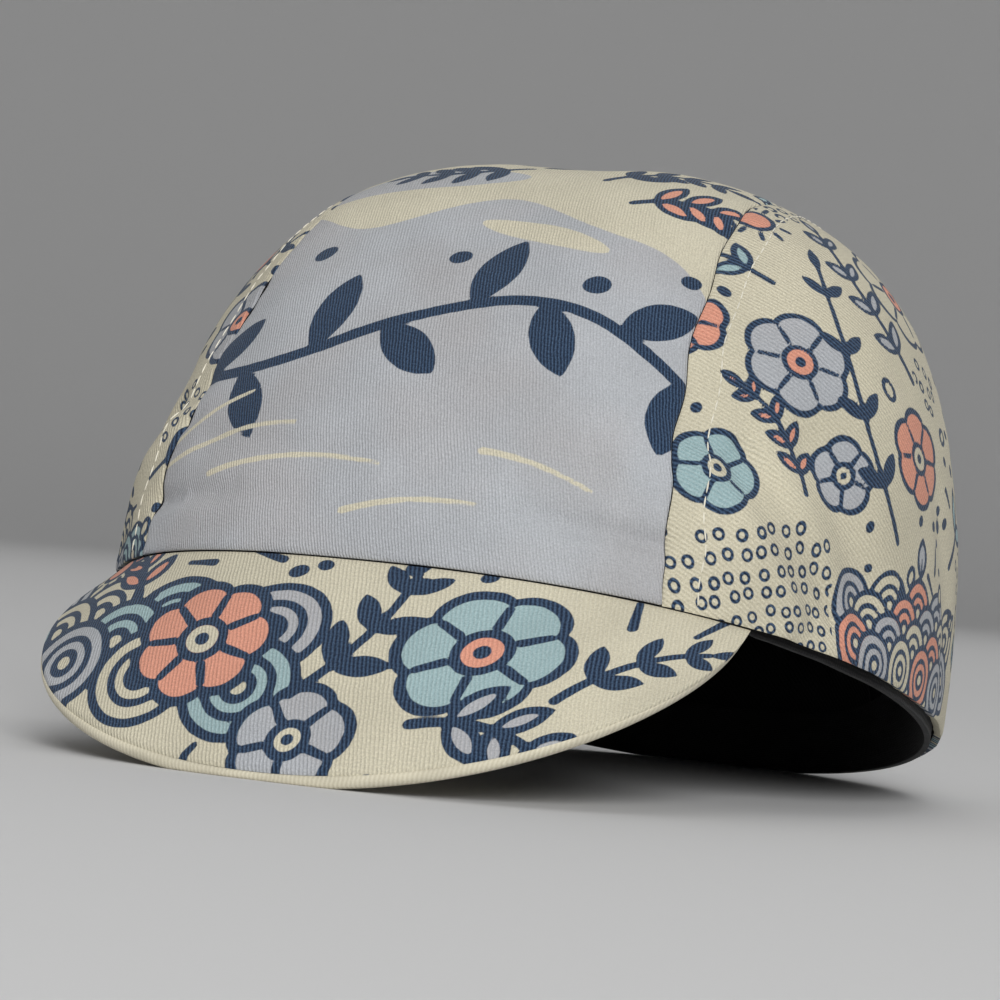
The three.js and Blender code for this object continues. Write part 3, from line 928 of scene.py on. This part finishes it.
def centre_print(p):
    ink = bare_cloth(len(p))
    u, v = p[:, 0], p[:, 1]
    hill = 84 + 7 * np.sin(u / 15 + 0.6) + 3.5 * np.sin(u / 7.3 + 2) - 0.2 * u
    nape = STRIP - 66 + 6 * np.sin(u / 12) + 3 * np.sin(u / 5.5 + 1)
    lay(ink, "grey", (v - hill) * 0.85)
    lay(ink, "grey", oval(p, (-24, 101), (22, 6), 6))
    lay(ink, "cream", oval(p, (12, 79), (15, 3), -12))
    lay(ink, "grey", (nape - v) * 0.85)
    lay(ink, "navy", stroke(p, [(x, stem_height(x)) for x in range(-66, 67, 4)], 2.6))
    for x, side, length in LEAVES:
        lay(ink, "navy", leaf(p, (x, stem_height(x)), stem_turn(x) + side * 62, length, 8.5))
    for x, y, r in BERRIES:
        lay(ink, "navy", oval(p, (x, y), (r * 1.15, r), 20))
    for x, y, length, tilt in RIPPLES:
        ripple = curve((x - length / 2, y - tilt), (x + length / 2, y + tilt), 0.05)
        lay(ink, "cream", stroke(p, ripple, 1.5, 0.95))
    for x, y, turn, colour in TOP_SPRIGS:
        sprig(ink, p, curve((x, y), np.array([x, y]) + 24 * heading(turn), 0.14), 9, colour, 1.3)
    taken = [(at, 15) for at in SPRIG_ROOM]
    kinds = ("dot", "dash", "pebble", "star")
    laid = scatter(ink, p, taken, ((-50, 112), (50, STRIP - 74)), 500, 5, kinds, 1.1)
    print("small motifs on the strip:", laid)
    return ink


centre_ink = centre_print(centre_uv)
for name in INKS:
    store(mesh, name, centre_ink[name])
store_thread(mesh, *centre_uv.T)
HOLLOW = Vector((0, 0.012, 0.02))  # a point inside the cap, in metres
weld_and_face_out(mesh, lambda c: c - HOLLOW)
centre_panel = wall(mesh, "center_panel_cloth", CLOTH, [front_print, inside_painted_shade])
print_on_edges(centre_panel)

# %% [markdown]
# ## Side panels
# A side panel is a rounded D with the rim as its straight edge. Its grid is a patch blended from its
# four borders (the rim, the middle of the seam, and the two ends of the seam) and then pushed out
# onto the skin. A D-shaped piece of a dome is closest to a piece of a cone, so its millimetres are
# those of an unrolled cone: straight threads stay nearly straight and shapes nearly true.

# %% Side panels
SIDE_COLUMNS, SIDE_ROWS = 262, 168
CORNER = math.pi / 4


def seam_at(angle):
    return lengthwise(angle, np.ones_like(angle), SEAM_GAP / 2)


def around(p):
    return np.arctan2(p[..., 1] - HUB[1], p[..., 0])


FIRST, LAST = (float(around(seam_at(np.array([a])))[0]) for a in (0.0, math.pi))


def rim_at(share):
    turn = FIRST + (LAST - FIRST) * share
    return out_from_hub(np.stack([np.cos(turn), HUB[1] + np.sin(turn), np.zeros_like(turn)], -1))


def side_skin(s, t):
    front, back = seam_at(t * CORNER), seam_at(math.pi - t * CORNER)
    top_edge, rim = seam_at(CORNER + s * (math.pi - 2 * CORNER)), rim_at(s)
    ends = seam_at(np.array([0.0, CORNER, math.pi - CORNER, math.pi]))
    s, t = s[:, None], t[:, None]
    p = rim * (1 - t) + top_edge * t + front * (1 - s) + back * s
    p -= ends[0] * (1 - t) * (1 - s) + ends[3] * (1 - t) * s + ends[1] * t * (1 - s) + ends[2] * t * s
    return out_from_hub(p)


def side_place(s, t):
    p = side_skin(s, t)
    off_seam = p[:, 0] - seam_x(p[:, 1], p[:, 2])
    return cloth_skin(p, SIDE_SEED, np.minimum(np.abs(off_seam) * 1.1, p[:, 2] + 0.35))


CONE = 196.0
TABLE_TURN = np.radians(np.linspace(-85, 85, 69))
TABLE_RISE = np.radians(np.linspace(0, 80, 41))


def cone_tables():
    turn, rise = np.meshgrid(TABLE_TURN, TABLE_RISE, indexing="ij")
    way = np.stack([np.cos(turn) * np.cos(rise), np.sin(turn) * np.cos(rise), np.sin(rise)], -1)
    skin = crossing(lambda reach: HUB + way * reach[..., None], turn.shape)
    rim = arc_lengths(skin[:, :1], 0)[:, 0]
    return rim - np.interp(0, TABLE_TURN, rim), arc_lengths(skin, 1)


RIM_ARC, RISE_ARC = cone_tables()


def side_millimetres(p):
    turn = around(mirrored(p))
    rise = np.arctan2(p[:, 2], np.hypot(p[:, 0], p[:, 1] - HUB[1]))
    i = np.clip((turn - TABLE_TURN[0]) / (TABLE_TURN[1] - TABLE_TURN[0]), 0, len(TABLE_TURN) - 1.001)
    j = np.clip(rise / TABLE_RISE[1], 0, len(TABLE_RISE) - 1.001)
    i0, j0 = i.astype(int), j.astype(int)
    fi, fj = i - i0, j - j0
    height = (RISE_ARC[i0, j0] * (1 - fi) + RISE_ARC[i0 + 1, j0] * fi) * (1 - fj)
    height += (RISE_ARC[i0, j0 + 1] * (1 - fi) + RISE_ARC[i0 + 1, j0 + 1] * fi) * fj
    bearing = 1.07 * np.interp(turn, TABLE_TURN, RIM_ARC) / CONE
    return np.stack([(CONE - height) * np.sin(bearing), CONE - (CONE - height) * np.cos(bearing)], -1)


# %% [markdown]
# The sides carry the fine drawing. The main motifs are placed one by one from lists, and small pebbles,
# buds, dots and stars are scattered into the room that is left, from a seeded draw, so that every run
# gives the same cloth. The other side is cut from another part of the same print.


# %% Print of the side panels
SIDE_FLOWERS = [  # across, up, radius, petals, fill, heart, turn
    (-44, 62, 10.5, 6, "grey", "coral", 10), (-4, 84, 12, 7, "cream", "coral", 0),
    (34, 52, 11.5, 6, "teal", "cream", 20), (-14, 46, 9.5, 6, "coral", "cream", 35),
    (62, 66, 10, 6, "grey", "coral", 0), (26, 92, 9.5, 5, "grey", "cream", 15),
    (-68, 42, 8.5, 5, "teal", "cream", 50), (-39, 40, 7.2, 5, "grey", "cream", 80),
    (-62, 74, 8, 6, "coral", "cream", 0),
]
SIDE_SPRIGS = [  # root, tip, bow, size, fill
    ((-24, 28), (-30, 84), 0.1, 8, "navy"), ((8, 30), (16, 76), -0.1, 9, "teal"),
    ((52, 34), (48, 88), 0.12, 8, "navy"), ((-76, 54), (-72, 84), 0.1, 6.5, "navy"),
    ((74, 32), (84, 62), -0.1, 8, "navy"), ((-12, 62), (-22, 96), 0.1, 7, "grey"),
    ((-50, 36), (-57, 58), -0.1, 5.5, "coral"), ((-42, 80), (-52, 104), 0.1, 6.5, "teal"),
]
SIDE_SUNS = [  # across, up, radius
    (-56, 92, 3.6), (40, 78, 3.8), (12, 108, 4.0), (76, 84, 3.6), (-36, 98, 3.4),
]


def side_print_on(p, seed, flip):
    ink = bare_cloth(len(p))
    q = p * np.array([flip, 1])
    waves(ink, q, (-38, 4), 6.4, 4, 5, ("grey", "cream", "coral"), 1.0)
    waves(ink, q, (42, 6), 6.2, 4, 4, ("teal", "grey", "cream"), 1.0)
    taken = [((x, 8), 10) for x in range(-38, 20, 11)] + [((x, 9), 10) for x in range(42, 84, 11)]
    for x, y, r, petals, fill, heart, turn in SIDE_FLOWERS:
        flower(ink, q, (x, y), r, petals, fill, heart, turn, 1.0)
        taken.append(((x, y), r + 0.6))
    for root, tip, bow, size, fill in SIDE_SPRIGS:
        path = curve(root, tip, bow)
        sprig(ink, q, path, size, fill, 1.0)
        taken += [(tuple(point), size * 0.72) for point in path[::2]]
    for x, y, r in SIDE_SUNS:
        sun(ink, q, (x, y), r, "coral")
        taken.append(((x, y), r * 2))
    for (x, y), (wide, high) in PEBBLE_BEDS:
        taken += [((x + step * wide, y), high) for step in ((-0.62, 0, 0.62) if wide > high else (0,))]
    scatter(ink, q, taken, ((-96, 4), (96, 120)), 900, seed + 50, ("bloom", "twig"), 0.95)
    kinds = ("pebble", "dot", "bud", "star", "dash")
    laid = scatter(ink, q, taken, ((-96, 2), (96, 122)), 3600, seed, kinds)
    ink["clear_of_ink"] = 1.0 - np.min([ink[name] for name in INKS], 0)
    print("small motifs on the side:", laid)
    return ink


def make_side(name, side, seed):
    def place(s, t):
        return side_place(s, t) * np.array([side, 1, 1])

    mesh, _, points = grid_mesh(name, SIDE_COLUMNS, SIDE_ROWS, place)
    uv = side_millimetres(points)
    for key, values in side_print_on(uv, seed, side).items():
        store(mesh, key, values)
    store_thread(mesh, uv[:, 0] * side, uv[:, 1])
    weld_and_face_out(mesh, lambda c: c - HOLLOW)
    panel = wall(mesh, name, CLOTH, [side_print, inside_painted_shade])
    print_on_edges(panel)
    return panel


left_panel = make_side("left_panel_cloth", 1, 7)
right_panel = make_side("right_panel_cloth", -1, 8)

# %% [markdown]
# A row of stitches holds the folded-back cloth beside each seam. A stitch is a stretched ball of
# thread, half sunk into the cloth, with a small gap where the thread goes through to the back.

# %% Stitches beside the seams
STITCH_IN, STITCH_STEP, STITCH_LONG, STITCH_THICK = 5.4, 3.0, 2.5, 0.17


def stitch_row(bm, side):
    turn = np.linspace(0.01, math.pi - 0.01, 900)
    line = lengthwise(turn, np.ones_like(turn), STITCH_IN)
    skin = cloth_skin(line, SIDE_SEED, np.full(turn.shape, STITCH_IN))
    skin *= np.array([side, 1, 1])
    run = arc_lengths(skin, 0)
    for middle_at in np.arange(2, run[-1] - 2, STITCH_STEP):
        here = np.array([np.interp(middle_at, run, skin[:, i]) for i in range(3)])
        ahead = np.array([np.interp(middle_at + 0.5, run, skin[:, i]) for i in range(3)])
        x = Vector(ahead - here).normalized()
        z = Vector(crown_normal(here[None])[0])
        y = z.cross(x).normalized()
        z = x.cross(y)
        place = Matrix((x * STITCH_LONG / 2, y * STITCH_THICK, z * STITCH_THICK)).transposed().to_4x4()
        place.translation = Vector(here) + 0.04 * z
        bmesh.ops.create_icosphere(bm, subdivisions=2, radius=1, matrix=place)


def make_stitches():
    bm = bmesh.new()
    for side in (1, -1):
        stitch_row(bm, side)
    places = np.array([v.co for v in bm.verts])
    for v, co in zip(bm.verts, on_floor(places)):
        v.co = co
    bmesh.ops.recalc_face_normals(bm, faces=bm.faces)
    mesh = written(bm, "seam_stitches")
    mesh.shade_smooth()
    store(mesh, "thread", places)
    mesh.materials.append(plain_cloth(
        "stitch_thread", (0.80, 0.77, 0.66), (0.60, 0.56, 0.45), 30, 0.35, 0.5, 0.7, 0.2, 0.00003))
    print("faces in the stitches:", len(mesh.polygons))
    return put_in_scene("seam_stitches", mesh)


stitches = make_stitches()

# %% [markdown]
# ## Peak
# The peak is two layers over a stiffener, sewn into the brow. It slopes down steeply in the middle
# and less at its ends, and curls a little more towards its edge, which is the shape that a flat
# half-moon takes when its root is bent round the brow. Its points run out along straight lines
# from the root, so the print isn't bent.

# %% Peak
PEAK_SPAN, PEAK_REACH, PEAK_ROUND = 53.6, 51.0, 2.2
PEAK_SLOPE, PEAK_END_SLOPE, PEAK_CURL, PEAK_SPREAD, PEAK_SEAT = 55.7, 39.7, 8.0, 0.2, 0.8


def rim_point(angle):
    c, s = np.cos(angle), np.sin(angle)
    edge = plan_edge(c, s, s >= 0)
    return np.stack([HALF_WIDTH * c * edge, np.where(s < 0, BROW_REACH, NAPE_REACH) * s * edge, 0 * c], -1)


def peak_point(side, distance, depth):
    angle = np.radians(-90 + PEAK_SPAN * side)
    rim = rim_point(angle)
    root = rim - crown_normal(rim) * PEAK_SEAT
    root[..., 2] = -0.3
    fan = np.radians(PEAK_SPAN * side * PEAK_SPREAD)
    slope = PEAK_SLOPE + (PEAK_END_SLOPE - PEAK_SLOPE) * side**2 + PEAK_CURL * (distance / PEAK_REACH - 0.5)
    slope = np.radians(slope)
    way = np.stack([np.sin(fan) * np.cos(slope), -np.cos(fan) * np.cos(slope), -np.sin(slope)], -1)
    along = rim_point(angle + 0.05) - rim_point(angle - 0.05)
    up = np.cross(way, along)
    up /= np.linalg.norm(up, axis=-1, keepdims=True)
    return root + way * distance[..., None] - up * depth[..., None]


def peak_side(s):
    """From -1 to 1 along the root, with the columns closer together towards the ends, but not too close."""
    return 0.85 * np.sin(math.pi * (s - 0.5)) + 0.15 * (2 * s - 1)


def peak_reach(side):
    return PEAK_REACH * np.clip(1 - np.abs(side) ** PEAK_ROUND, 0, 1) ** (1 / PEAK_ROUND)


PEAK_COLUMNS, PEAK_ROWS = 280, 100


def upper_reach(side):
    """The printed layer leaves more of the roll to be seen in the middle than at the ends."""
    return np.clip(peak_reach(side) - 0.35 + 0.85 * side**2, 0, None)


def peak_top(s, t):
    side = peak_side(s)
    reach = upper_reach(side)
    distance = reach * t
    turn_down = 0.6 * np.clip(1 - (reach - distance) / 1.2, 0, 1) ** 2 - 0.2 * np.exp(-distance / 3)
    p = peak_point(side, distance, turn_down)
    p[:, 2] += 0.12 * uneven(p, 41, 16) * smooth(distance / 8) * smooth((reach - distance) / 6)
    return p


mesh, flat, points = grid_mesh("peak", PEAK_COLUMNS, PEAK_ROWS, peak_top)
side = peak_side(flat[:, 0])
out = upper_reach(side) * flat[:, 1]
fan = np.radians(PEAK_SPAN * side * PEAK_SPREAD)
stations = np.linspace(-1, 1, 81)
brow_arc = arc_lengths(rim_point(np.radians(-90 + PEAK_SPAN * stations)), 0)
width = np.interp(side, stations, brow_arc) - np.interp(0, stations, brow_arc)
peak_uv = np.stack([width + out * np.sin(fan), -out * np.cos(fan)], -1)
print("the cloth of the peak is", round(float(np.ptp(peak_uv[:, 0]))), "mm wide and",
      round(float(out.max())), "mm deep")

# %% [markdown]
# The peak carries the same garden drawn twice as bold, so it reads from across a road: three large
# flowers, a bank of scallops at one end and a few sprigs. Here too the listed motifs come first
# and small ones fill the room.


# %% Print of the peak
PEAK_ROOM = [  # across, out, radius kept clear of small motifs
    (-22, -24, 17), (34, -20, 18), (6, -44, 14), (8, -18, 12), (62, -20, 12), (-54, -8, 11),
    (44, -42, 13), (-66, -4, 9), (-70, -30, 14), (-50, -30, 14), (-32, -46, 10),
]


def peak_print_on(p):
    ink = bare_cloth(len(p))
    waves(ink, p, (-78, -34), 11.5, 3, 4, ("grey", "cream", "teal"), 2.0)
    flower(ink, p, (-22, -24), 15, 7, "coral", "cream", 12, 2.0)
    flower(ink, p, (34, -20), 16, 6, "teal", "coral", 0, 2.0)
    flower(ink, p, (6, -44), 12, 5, "grey", "cream", 20, 1.9)
    sprig(ink, p, curve((2, -34), (14, -2), -0.1), 12, "navy", 1.8, 3)
    sprig(ink, p, curve((52, -30), (74, -12), 0.1), 10, "navy", 1.7, 3)
    sprig(ink, p, curve((-46, -16), (-60, 2), -0.1), 10, "coral", 1.7, 3)
    sprig(ink, p, curve((28, -38), (56, -44), 0.12), 11, "grey", 1.8, 3)
    sun(ink, p, (-66, -4), 4.6, "coral", 10, 1.6)
    taken = [((x, y), r) for x, y, r in PEAK_ROOM]
    laid = scatter(ink, p, taken, ((-86, -52), (86, 0)), 700, 21, ("dot", "pebble", "bud", "dash"), 1.55)
    print("small motifs on the peak:", laid)
    return ink


peak_ink = peak_print_on(peak_uv)
for name in INKS:
    store(mesh, name, peak_ink[name])
store_thread(mesh, *peak_uv.T)
weld_and_face_out(mesh, lambda c: Vector((0, -1, 1)))
peak_upper = wall(mesh, "peak_upper_cloth", 1.2, [peak_print], 0.2)

# %% [markdown]
# Below the print the plain under layer comes out past it in a rolled edge, the pale line round the
# rim of the peak. Its grid runs once round the section of the layer, and its two long borders are
# welded to each other.

# %% Peak underside with its rolled edge
UNDER_SECTION = [  # share of the reach, out past it, depth below the top of the peak
    (0, 0, 1.5), (0.3, 0, 1.5), (0.6, 0, 1.5), (0.85, 0, 1.5), (1, -1.6, 1.5), (1, -0.75, 1.4),
    (1, -0.5, 0.9), (1, -0.25, 0.55), (1, 0.2, 0.5), (1, 0.65, 0.72), (1, 1.0, 1.1), (1, 1.2, 1.6),
    (1, 1.18, 2.05), (1, 0.98, 2.45), (1, 0.6, 2.75), (1, 0.15, 2.88), (1, -0.5, 2.85), (1, -1.6, 2.8),
    (0.85, 0, 2.8), (0.6, 0, 2.8), (0.3, 0, 2.8), (0, 0, 2.8),
]


def under_place(s, t):
    section = np.array(UNDER_SECTION + UNDER_SECTION[:1])
    k = t * (len(section) - 1)
    share, past, depth = (np.interp(k, np.arange(len(section)), section[:, i]) for i in range(3))
    side = peak_side(s)
    past = np.where(past > 0, past * (1 - 0.1 * side**2), past)
    return peak_point(side, np.clip(share * peak_reach(side) + past, 0, None), depth)


UNDER_COLUMNS, UNDER_HALF_WIDTH, UNDER_ROUND = 300, 78, 60
mesh, flat, points = grid_mesh("peak_under", UNDER_COLUMNS, len(UNDER_SECTION), under_place)
side = peak_side(flat[:, 0])
store_thread(mesh, UNDER_HALF_WIDTH * side, UNDER_ROUND * flat[:, 1])
under_print = plain_cloth("peak_under_cloth_weave", (0.680, 0.635, 0.500), (0.50, 0.455, 0.340), 0, 0.8, 1.1)


def close_tube(mesh):
    bm = welded(mesh, 1e-5)
    bmesh.ops.holes_fill(bm, edges=[e for e in bm.edges if e.is_boundary], sides=0)
    bmesh.ops.recalc_face_normals(bm, faces=bm.faces)
    print("open edges left:", sum(e.is_boundary for e in bm.edges))
    bm.to_mesh(mesh)
    bm.free()


close_tube(mesh)
mesh.materials.append(under_print)
mesh.shade_smooth()
peak_under = put_in_scene("peak_under_cloth", mesh)

# %% [markdown]
# ## Band
# The band is a woven tape sewn inside the rim. It is what the rim shows from outside, a narrow dark
# edge past the end of the peak, and it is deepest at the sides. One sheet runs round the rim and
# its ends are welded before it gets its wall.

# %% Band
BAND_OUTSIDE, BAND_CLOTH = 2.1, 1.2
BAND_TOP_SIDE, BAND_TOP_NAPE, BAND_LIFT = 30, 12, 0.3
BAND_LENGTH, BAND_COLUMNS, BAND_ROWS = 560, 420, 24


def band_place(s, t):
    degrees = -90 + 360 * s
    from_side = np.where(degrees > 90, 180 - degrees, degrees)
    shows = 0.8 + 0.5 * smooth((from_side + 36) / 60) + 0.2 * smooth((from_side - 30) / 40)
    bottom = BAND_LIFT - (BAND_LIFT + shows) * smooth((from_side + 37.5) / 3)
    top_edge = BAND_TOP_SIDE + (BAND_TOP_NAPE - BAND_TOP_SIDE) * smooth((from_side - 10) / 60)
    z = bottom + (top_edge - bottom) * t
    rim = rim_point(np.radians(degrees))
    way = rim - HUB
    way[:, 2] = 0
    way /= np.linalg.norm(way, axis=-1, keepdims=True)
    level = np.clip(z, 0, None)
    p = crossing(lambda reach: HUB + way * reach[:, None] + np.outer(level, [0, 0, 1]), z.shape)
    dents = [(n, a, b, d, w * 1.3) for n, a, b, d, w in FOLDS + CREASES if d > 0]
    p = p - crown_normal(p) * (BAND_OUTSIDE + swell_depth(p) + fold_depth(p, dents))[:, None]
    p[:, 2] = z
    return p


mesh, flat, points = grid_mesh("band", BAND_COLUMNS, BAND_ROWS, band_place)
store_thread(mesh, BAND_LENGTH * flat[:, 0], BAND_TOP_SIDE * flat[:, 1])
band_weave = plain_cloth(
    "band_weave", (0.016, 0.016, 0.017), (0.006, 0.006, 0.007), 90, 0.9, 0.9, 0.9, 0.12, 0.00015)
weld_and_face_out(mesh, lambda c: Vector((c.x, c.y - 0.012, 0)))
band = wall(mesh, "band_tape", BAND_CLOTH, [band_weave], 0.2)

# %% Pieces
dress(centre_panel, "crown_center_panel")
dress(left_panel, "crown_left_panel")
dress(right_panel, "crown_right_panel")
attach(stitches, "root")
dress(peak_upper, "peak_upper")
dress(peak_under, "peak_under")
dress(band, "sweatband")

# %% [markdown]
# ## Studio
# A plain pale floor that turns up into a wall all round, like a wide bowl, so that the cap can be
# looked at from any side. A profile of a few points is spun once round. Large soft lamps stand far
# off: the main one in front on the right, low enough to show the folds, and weaker ones on the left,
# behind and above.


# %% Floor and lights
FLOOR_RADIUS, FLOOR_BEND, WALL_TOP = 3.2, 1.2, 4.6
LAMP_DISTANCE, LIGHT_ALL_ROUND = 2.6, 0.37
LAMPS = [  # name, azimuth, elevation, width, power, colour
    ("key", 34, 24, 1.2, 51, (1.0, 1.0, 1.0)),
    ("back", 195, 40, 1.4, 7, (1.0, 1.0, 1.0)),
    ("fill", -48, 24, 1.4, 3, (1.0, 0.985, 0.96)),
    ("overhead", 0, 88, 1.6, 5, (1.0, 1.0, 1.0)),
]


def studio():
    bm = bmesh.new()
    angles = [math.pi / 2 * k / 12 for k in range(13)]
    profile = [(0.02, 0), (0.6, 0), (FLOOR_RADIUS, 0)]
    profile += [(FLOOR_RADIUS + FLOOR_BEND * math.sin(a), FLOOR_BEND * (1 - math.cos(a))) for a in angles[1:]]
    profile.append((FLOOR_RADIUS + FLOOR_BEND, WALL_TOP))
    line = [bm.verts.new((x, 0, z)) for x, z in profile]
    edges = [bm.edges.new(pair) for pair in zip(line, line[1:])]
    bmesh.ops.spin(bm, geom=line + edges, axis=(0, 0, 1), cent=(0, 0, 0), angle=2 * math.pi, steps=64,
                   use_merge=True)
    bmesh.ops.holes_fill(bm, edges=[e for e in bm.edges if e.is_boundary and e.verts[0].co.z < 0.1], sides=0)
    bmesh.ops.recalc_face_normals(bm, faces=bm.faces)
    mesh = written(bm, "floor")
    mesh.shade_smooth()
    floor = put_in_scene("floor", mesh)
    material = bpy.data.materials.new("pale_floor")
    material.use_nodes = True
    shader = material.node_tree.nodes["Principled BSDF"]
    shader.inputs["Base Color"].default_value = (0.62, 0.62, 0.62, 1)
    shader.inputs["Roughness"].default_value = 0.9
    mesh.materials.append(material)


def lamp(name, azimuth, elevation, width, power, colour):
    a, e = math.radians(azimuth), math.radians(elevation)
    at = LAMP_DISTANCE * Vector((math.sin(a) * math.cos(e), -math.cos(a) * math.cos(e), math.sin(e)))
    data = bpy.data.lights.new(name, "AREA")
    data.shape, data.size, data.energy, data.color = "DISK", width, power, colour
    obj = put_in_scene(name, data)
    obj.location = at
    obj.rotation_mode = "QUATERNION"
    obj.rotation_quaternion = (at - Vector((0, 0, 0.05))).to_track_quat("Z", "Y")


studio()
for values in LAMPS:
    lamp(*values)
world = bpy.data.worlds.new("studio")
world.use_nodes = True
background = world.node_tree.nodes["Background"]
background.inputs["Color"].default_value = (1, 1, 1, 1)
background.inputs["Strength"].default_value = LIGHT_ALL_ROUND
bpy.context.scene.world = world
bpy.context.scene.view_settings.view_transform = "Standard"
